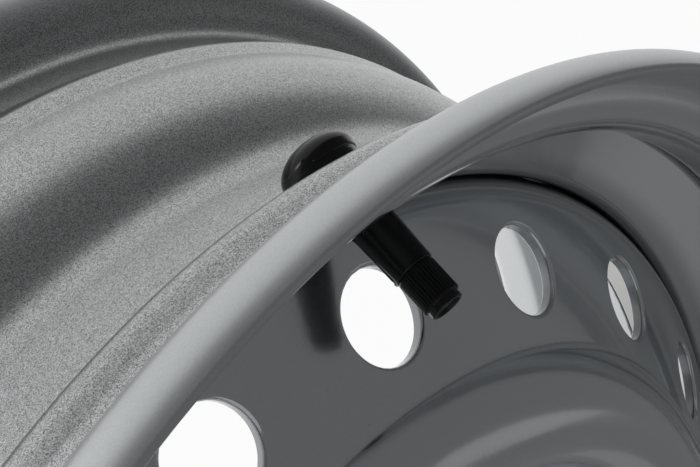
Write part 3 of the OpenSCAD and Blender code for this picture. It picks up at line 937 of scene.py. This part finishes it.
    def bolts(self, shell, d, turns):
        """Quarters of the hub plate with their raised, conical bolt seats."""
        steps = AROUND // d.bolts
        first = int(np.argmin(np.abs((turns + math.pi) % (2 * math.pi) - math.pi)))
        bolt_r, top_z = d.bolt_hole_d / 2, d.sheet + d.seat_h
        seat_r = bolt_r + (top_z - self.SEAT_LAND) * math.tan(d.seat_cone / 2)
        top_r = seat_r + self.SEAT_TOP
        flank = self.SEAT_FLANK * d.seat_h / (d.seat_h + d.sheet / 2)
        profile = np.concatenate(bends([
            ((self.SEAT_END_R, d.sheet), 0), ((top_r + flank, d.sheet), 0.0008), ((top_r, top_z), 0.0009),
            ((seat_r, top_z), 0.0005), ((bolt_r, self.SEAT_LAND), 0.0004), ((bolt_r, 0), 0.0004),
            ((self.SEAT_BACK_R, 0), 0)], 0.0, self.EDGE_STEPS))
        for k in range(d.bolts):
            at = (k + 0.5) * 2 * math.pi / d.bolts
            centre = np.array((math.cos(at), math.sin(at))) * d.bolt_circle_d / 2
            begin = turns[0] + (first + k * steps) * 2 * math.pi / AROUND
            finish = begin + steps * 2 * math.pi / AROUND
            edge = frame_of(self.HUB_IN, self.HUB_OUT, begin, finish, steps, self.BOLT_STEPS)
            spots = np.stack((edge[:, 1] * np.cos(edge[:, 0]), edge[:, 1] * np.sin(edge[:, 0])), axis=1)
            out = spots - centre
            spoke = out / np.hypot(out[:, 0], out[:, 1])[:, None]
            rows = []
            for w in np.linspace(0, 1, self.BOLT_RINGS + 1)[:-1]:
                rows.append((spots * (1 - w) + (centre + spoke * profile[0, 0]) * w, d.sheet))
            rows += [(centre + spoke * rho, z) for rho, z in profile]
            for w in np.linspace(1, 0, self.BOLT_RINGS + 1)[1:]:
                rows.append((spots * (1 - w) + (centre + spoke * profile[-1, 0]) * w, 0.0))
            shell.grid(np.array([np.column_stack((p, np.full(len(p), z))) for p, z in rows]))


class WHEEL_OT_welds(Maker, bpy.types.Operator):
    """Lays the rippled weld runs between the disc's skirt and the rim"""

    bl_idname = "wheel.welds"
    bl_label = "Welds"

    RIM_GAP = 0.00005
    # Steps along a run, points across it, steps of one ripple and of a run's rounded end
    STEPS = 150
    ACROSS = 10
    RIPPLE_STEPS = 7
    END_STEPS = 7
    # Share of its leg that a run starts with, and how far its face is crowned and sags
    START_SHARE = 0.1
    CROWN = 0.10
    SAG = 0.05

    def execute(self, context):
        rim, d, _, tones = self.sizes(context)
        line = RimLine(rim)
        outer, skirt_z = line.well_in_r - self.RIM_GAP, line.slope_foot_z + d.skirt_clear
        shell = Shell()
        for k in range(d.welds):
            turns = (k + 0.5) * 2 * math.pi / d.welds + np.linspace(-0.5, 0.5, self.STEPS) * d.weld_arc
            rows = []
            for i, turn in enumerate(turns):
                end = min(1, min(i, self.STEPS - 1 - i) / self.END_STEPS)
                rounding = math.sqrt(1 - (1 - end) ** 2)
                size = d.weld_leg * (rounding * (1 - self.START_SHARE) + self.START_SHARE)
                ring = [(outer, skirt_z)]
                for w in np.linspace(0, 1, self.ACROSS):
                    bow = math.sin(math.pi * w)
                    ripple = math.sin(2 * math.pi * (i / self.RIPPLE_STEPS - 0.45 * bow))
                    wave = ripple + 0.4 * math.sin(i * 0.37 + k)
                    swell = 1 + bow * (self.CROWN + 0.055 * wave)
                    sag = self.SAG * bow ** 2
                    ring.append((outer - size * w * swell, skirt_z - size * ((1 - w) * swell + sag)))
                rows.append([(r * math.cos(turn), r * math.sin(turn), z) for r, z in ring])
            rows = np.array(rows)
            shell.grid(rows)
            shell.cap(rows[0])
            shell.cap(rows[-1])
        piece = shell.make("weld_runs")
        dress(piece, weld_finish(tones), "weld_paint", "wheel", "weld_beads")
        return {"FINISHED"}


class WHEEL_OT_valve_rubber(Maker, bpy.types.Operator):
    """Moulds the valve's rubber bulb, shoulder and stem with a little flash"""

    bl_idname = "wheel.valve_rubber"
    bl_label = "Valve rubber"

    # Angle round the axis, place along it and height of each bit of flash
    FLASH = (
        (1.48, -0.01064, 0.00050), (1.62, -0.01055, 0.00035), (0.23, -0.01073, 0.00045),
        (0.02, -0.01045, 0.00035), (2.70, -0.01060, 0.00040), (3.90, -0.01066, 0.00045),
        (5.10, -0.01058, 0.00040), (0.96, -0.00640, 0.00012), (2.10, 0.0230, 0.00030),
        (2.30, 0.0238, 0.00045), (2.46, 0.0240, 0.00035), (5.40, 0.0236, 0.00030))
    # How far a bit of flash spreads round the axis and along it, and how deep under the stem's face it starts
    FLASH_TURN = 0.06
    FLASH_SPREAD = 0.00016
    FLASH_ROOT = 0.0006
    # Steps round the rubber and over its dome
    STEPS = 192
    DOME_STEPS = 44
    # Gap between the rubber and what it sits on
    GAP = 0.00005
    # The mould's ring under the bulb: down from the widest place and in from it
    RING_DOWN = 0.0018
    RING_IN = 0.00035

    def execute(self, context):
        rim, _, v, tones = self.sizes(context)
        axis = ValveAxis(RimLine(rim), v)
        section = self.section(v, axis, rim.sheet)
        turns = full_turn(self.STEPS)
        rows = turned(section, turns)
        for at, z, high in self.FLASH:
            near = (turns - at + math.pi) % (2 * math.pi) - math.pi
            far = (section[:, 1, None] - z) / self.FLASH_SPREAD
            bump = np.exp(-(near[None, :] / self.FLASH_TURN) ** 2 - far ** 2)
            outer = section[:, 0, None] > v.stem_d / 2 - self.FLASH_ROOT
            rows[..., :2] *= (1 + high * bump * outer / np.maximum(section[:, 0, None], 0.001))[..., None]
        shell = Shell()
        shell.grid(rows, close_rows=True)
        piece = shell.make("valve_rubber", axis.place)
        dress(piece, rubber_finish(tones), "valve_rubber", "wheel", "valve_body")
        return {"FINISHED"}

    def section(self, v, axis, sheet):
        """The closed section of the rubber round the brass."""
        bulb_r, gap = v.bulb_d / 2, self.GAP
        air, tube, thread = v.air_d / 2, v.tube_d / 2 + gap, v.thread_d / 2 + gap
        hole, snap, stem = v.hole_d / 2 - gap, v.snap_d / 2, v.stem_d / 2
        anchor, anchor_end = tube + v.anchor_w, axis.tube_start + v.anchor_h + gap
        tube_start, root = axis.tube_start - gap, v.stem_l - v.thread_in
        apex = -v.bulb_up - v.dome_h
        a = np.linspace(math.asin(air / bulb_r) + 0.03, math.pi / 2, self.DOME_STEPS)
        dome = np.stack((bulb_r * np.sin(a), -v.bulb_up - v.dome_h * np.cos(a)), axis=1)
        ring_r, ring_z = bulb_r - self.RING_IN, -v.bulb_up + self.RING_DOWN
        lower = bends([
            ((bulb_r, -v.bulb_up), 0), ((ring_r, ring_z), 0.0003),
            ((ring_r - 0.00045, ring_z + 0.00015), 0.0001), ((ring_r - 0.00055, ring_z + 0.0009), 0.0004),
            ((v.foot_d / 2, -gap), 0.00015), ((hole, -gap), 0.0001), ((hole, sheet + gap), 0.0001),
            ((snap, sheet + gap), 0.0003), ((snap, sheet + 0.002), 0.001),
            ((v.stem_root_d / 2, sheet + v.snap_l), 0.006), ((stem, v.stem_l - 0.0014), 0.001),
            ((stem, v.stem_l), 0.0005), ((thread, v.stem_l), 0.0002), ((thread, root), 0.0001),
            ((tube, root), 0.0001), ((tube, anchor_end), 0.0001), ((anchor, anchor_end), 0.0001),
            ((anchor, tube_start), 0.0001), ((air, tube_start), 0.0001), ((air, apex), 0)], 0.0, 4)
        return np.concatenate([dome, *lower, [(air, apex + 0.0009)]])


class WHEEL_OT_valve_brass(Maker, bpy.types.Operator):
    """Turns the brass stem with the thread under the cap"""

    bl_idname = "wheel.valve_brass"
    bl_label = "Valve brass"

    # The thread's depth, its start inside the rubber, its end before the stem's end, and its rings
    THREAD_DEPTH = 0.0004
    THREAD_START = 0.001
    THREAD_END = 0.0006
    THREAD_RINGS = 110
    # Chamfer of the bore's mouth
    MOUTH = 0.00035

    def execute(self, context):
        rim, _, v, tones = self.sizes(context)
        axis = ValveAxis(RimLine(rim), v)
        thread, tube, air, core = v.thread_d / 2, v.tube_d / 2, v.air_d / 2, v.core_bore_d / 2
        start, end, root = axis.tube_start, axis.stem_end, v.stem_l - v.thread_in
        run = np.linspace(v.stem_l - self.THREAD_START, end - self.THREAD_END, self.THREAD_RINGS)
        inside = [
            (air, start), (tube + v.anchor_w, start), (tube + v.anchor_w, start + v.anchor_h),
            (tube, start + v.anchor_h), (tube, root), (thread, root)]
        mouth = [
            (thread - self.THREAD_DEPTH, end), (core + self.MOUTH, end), (core, end - self.MOUTH),
            (core, end - v.core_depth), (air, end - v.core_depth)]
        section = np.concatenate([inside, np.stack((np.full(len(run), thread), run), axis=1), mouth])
        turns = full_turn(ROUND)
        rows = turned(section, turns)
        climb = (section[:, 1, None] / v.thread_pitch - turns[None, :] / (2 * math.pi)) % 1.0
        depth = self.THREAD_DEPTH * np.clip(np.abs(climb - 0.5) * 2.6 - 0.25, 0, 1)
        threaded = np.zeros((len(section), 1))
        threaded[len(inside):len(inside) + len(run)] = 1
        rows[..., :2] *= (1 - depth * threaded / section[:, 0, None])[..., None]
        shell = Shell()
        shell.grid(rows, close_rows=True)
        piece = shell.make("valve_brass", axis.place)
        dress(piece, brass_finish(tones, "stem_brass"), "stem_brass", "wheel", "valve_stem")
        return {"FINISHED"}


class WHEEL_OT_valve_core(Maker, bpy.types.Operator):
    """Finishes the pieces of the valve core and the cap's seal, which keep their CAD shape"""

    bl_idname = "wheel.valve_core"
    bl_label = "Valve core"

    def execute(self, context):
        *_, tones = self.sizes(context)
        brass = brass_finish(tones, "core_brass")
        black = seal_finish("seal_black", tones.seal_black)
        looks = {
            "core_plug": brass, "core_barrel": brass, "core_pin": brass, "core_cup": brass,
            "core_seal": seal_finish("seal_red", tones.seal_red), "core_spring": spring_finish(tones),
            "cup_seal": black, "cap_seal": black,
        }
        for name, look in looks.items():
            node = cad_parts[name]
            if not node.material_slots:
                raise RuntimeError("The CAD node %s has no material slot" % name)
            for spot in node.material_slots:
                spot.material = look
        return {"FINISHED"}


class WHEEL_OT_valve_cap(Maker, bpy.types.Operator):
    """Moulds the ribbed cap with its plain tip and hollow end"""

    bl_idname = "wheel.valve_cap"
    bl_label = "Valve cap"

    # Clearance round the thread, radius of the innermost ring, and how deep the tip's end is sunk
    CLEAR = 0.00015
    CENTRE_R = 0.0004
    SUNK = 0.00055
    # Depth of a groove, points round it, rings along it, and how far in from the radius it counts as ribbed
    GROOVE = 0.00026
    GROOVE_STEPS = 10
    RIB_RINGS = 10
    RIB_IN = 0.00035

    def execute(self, context):
        rim, _, v, tones = self.sizes(context)
        axis = ValveAxis(RimLine(rim), v)
        r, tip, bore = v.cap_d / 2, v.tip_d / 2, v.thread_d / 2 + self.CLEAR
        start, ceiling, shoulder, end = axis.cap_start, axis.cap_ceiling, axis.cap_shoulder, axis.cap_end
        sunk = (self.CENTRE_R, end - self.SUNK)
        parts = bends([
            ((bore, ceiling), 0), ((bore, start), 0.0002), ((r - 0.0001, start), 0.0001),
            ((r - 0.0001, start + 0.00035), 0.0001), ((r, start + 0.0004), 0.0001), ((r, shoulder), 0.0003),
            ((tip + 0.0001, shoulder), 0.00015), ((tip, shoulder + 0.0003), 0.0002), ((tip, end), 0.0004),
            ((tip - 0.00075, end), 0.00025), ((tip - 0.00095, end - 0.0006), 0.0002), (sunk, 0)], 0.0, 5)
        along = np.linspace(start + 0.0007, shoulder - 0.0005, self.RIB_RINGS)
        ribbed = np.stack((np.full(self.RIB_RINGS, r), along), axis=1)
        section = np.concatenate([
            [(self.CENTRE_R, ceiling), (bore, ceiling)], *parts[:4], ribbed, *parts[4:], [sunk]])
        turns = full_turn(v.cap_grooves * self.GROOVE_STEPS)
        rows = turned(section, turns)
        phase = np.abs((turns * v.cap_grooves / (2 * math.pi)) % 1.0 - 0.5) * 2
        groove = self.GROOVE * np.clip((phase - 0.35) / 0.45, 0, 1)
        on_ribs = (np.abs(section[:, 0] - r) < self.RIB_IN) & (section[:, 1] > start + 0.0004)
        on_ribs &= section[:, 1] < shoulder + 0.0001
        rows[..., :2] *= (1 - groove[None, :] * on_ribs[:, None] / section[:, 0, None])[..., None]
        shell = Shell()
        shell.grid(rows)
        shell.cap(rows[0])
        shell.cap(rows[-1])
        piece = shell.make("valve_cap_shell", axis.place)
        dress(piece, cap_finish(tones), "cap_plastic", "valve_cap_body", "valve_cap")
        return {"FINISHED"}


class WHEEL_OT_stage(Maker, bpy.types.Operator):
    """Sets the floor, the soft lamps, the sky and the camera"""

    bl_idname = "wheel.stage"
    bl_label = "Stage"

    EYE = (0.303598, 0.214405, 0.195467)
    RIGHT = (-0.068078, -0.659577, 0.748547)
    DOWN = (-0.907034, 0.353400, 0.228904)
    AHEAD = (-0.415517, -0.663375, -0.622318)
    SENSOR = 36.0
    # Each lamp's place, target, width, height and roll in degrees
    LAMPS = {
        "fill": ((-0.35, 0.95, 1.00), (0.05, 0.05, 0.0), 1.8, 1.8, 0),
        "strip": ((-0.047, -0.670, 0.684), (0.203, -0.050, 0.084), 0.20, 0.6, -34),
        "wall": ((-0.855, -0.279, 0.441), (0.035, 0.011, 0.101), 0.89, 0.435, 0),
        "spark": ((0.26, 0.24, -0.090), (0.185, 0.0, -0.01), 0.05, 0.05, 0),
    }
    # How far the floor lies under the wheel, and how white it is where it is seen
    FLOOR_GAP = 0.0003
    FLOOR_GLOW = 0.96
    FLOOR_STEPS = 96
    SKY_TONE = (0.98, 0.99, 1.0)

    def execute(self, context):
        stage = context.scene.wheel_stage
        self.floor(stage)
        for name, setting in self.LAMPS.items():
            self.lamp(name, getattr(stage, name), *setting)
        self.sky(context.scene, stage)
        self.camera(context.scene, stage)
        context.scene.view_settings.view_transform = "Standard"
        return {"FINISHED"}

    def floor(self, stage):
        shell = Shell()
        ring = turned([(stage.floor_r, CAD_BOX[0][2] - self.FLOOR_GAP)], full_turn(self.FLOOR_STEPS))
        shell.cap(ring[0])
        piece = shell.make("floor")
        f = Finish("floor", roughness=0.9)
        f.shader.inputs["Base Color"].default_value = as_colour(tuple(stage.floor))
        ray = f.node("ShaderNodeLightPath", out="Is Camera Ray")
        glossy = Flow(f, ray.socket.node.outputs["Is Glossy Ray"])
        through = Flow(f, ray.socket.node.outputs["Is Transmission Ray"])
        seen = f.node("ShaderNodeMath", {"operation": "MAXIMUM"}, {0: ray, 1: glossy})
        seen = f.node("ShaderNodeMath", {"operation": "MAXIMUM"}, {0: seen, 1: through})
        glow = f.node("ShaderNodeEmission", sockets={"Strength": 1.0})
        mixed = f.node("ShaderNodeMixShader", sockets={
            0: seen * self.FLOOR_GLOW, 1: Flow(f, f.shader.outputs[0]), 2: glow})
        f.tree.links.new(mixed.socket, f.tree.nodes["Material Output"].inputs["Surface"])
        piece.data.materials.append(f.material)

    def lamp(self, name, watts, place, target, wide, high, roll):
        light = bpy.data.lights.new(name, "AREA")
        light.energy = watts
        light.shape = "RECTANGLE"
        light.size, light.size_y = wide, high
        lamp = bpy.data.objects.new(name, light)
        lamp.location = place
        aim = (Vector(target) - Vector(place)).to_track_quat("-Z", "Y").to_matrix()
        lamp.rotation_euler = (aim @ Matrix.Rotation(math.radians(roll), 3, "Z")).to_euler()
        lamp.visible_camera = False
        bpy.context.scene.collection.objects.link(lamp)

    def sky(self, scene, stage):
        world = bpy.data.worlds.new("studio")
        world.use_nodes = True
        ground = world.node_tree.nodes["Background"]
        ground.inputs["Color"].default_value = as_colour(self.SKY_TONE)
        ground.inputs["Strength"].default_value = stage.sky
        scene.world = world

    def camera(self, scene, stage):
        lens = bpy.data.cameras.new("camera")
        lens.sensor_width = self.SENSOR
        lens.lens = stage.lens
        camera = bpy.data.objects.new("camera", lens)
        right, down, ahead = Vector(self.RIGHT), Vector(self.DOWN), Vector(self.AHEAD)
        turn = Matrix((right, -down, -ahead)).transposed().to_4x4()
        camera.matrix_world = Matrix.Translation(self.EYE) @ turn
        scene.collection.objects.link(camera)
        scene.camera = camera


class WHEEL_PT_panel(bpy.types.Panel):
    """Lists the steps and the sizes"""

    bl_label = "Steel Wheel Rim"
    bl_space_type = "VIEW_3D"
    bl_region_type = "UI"
    bl_category = "Wheel"

    def draw(self, context):
        for step in STEPS:
            self.layout.operator(step.bl_idname)
        for group in GROUPS:
            box = self.layout.box()
            settings = getattr(context.scene, group)
            for name in settings.__annotations__:
                box.prop(settings, name)


GROUPS = {
    "wheel_rim": RimSizes,
    "wheel_disc": DiscSizes,
    "wheel_valve": ValveSizes,
    "wheel_finishes": Finishes,
    "wheel_stage": StageSettings,
}
STEPS = (WHEEL_OT_rim, WHEEL_OT_disc, WHEEL_OT_welds, WHEEL_OT_valve_rubber, WHEEL_OT_valve_brass,
         WHEEL_OT_valve_core, WHEEL_OT_valve_cap, WHEEL_OT_stage)


def register():
    for item in (*GROUPS.values(), *STEPS, WHEEL_PT_panel):
        bpy.utils.register_class(item)
    for name, group in GROUPS.items():
        setattr(bpy.types.Scene, name, bpy.props.PointerProperty(type=group))


def unregister():
    for name in GROUPS:
        delattr(bpy.types.Scene, name)
    for item in (WHEEL_PT_panel, *reversed(STEPS), *reversed(GROUPS.values())):
        bpy.utils.unregister_class(item)


def main():
    register()
    for step in STEPS:
        group, name = step.bl_idname.split(".")
        getattr(getattr(bpy.ops, group), name)()


if __name__ == "__main__":
    main()
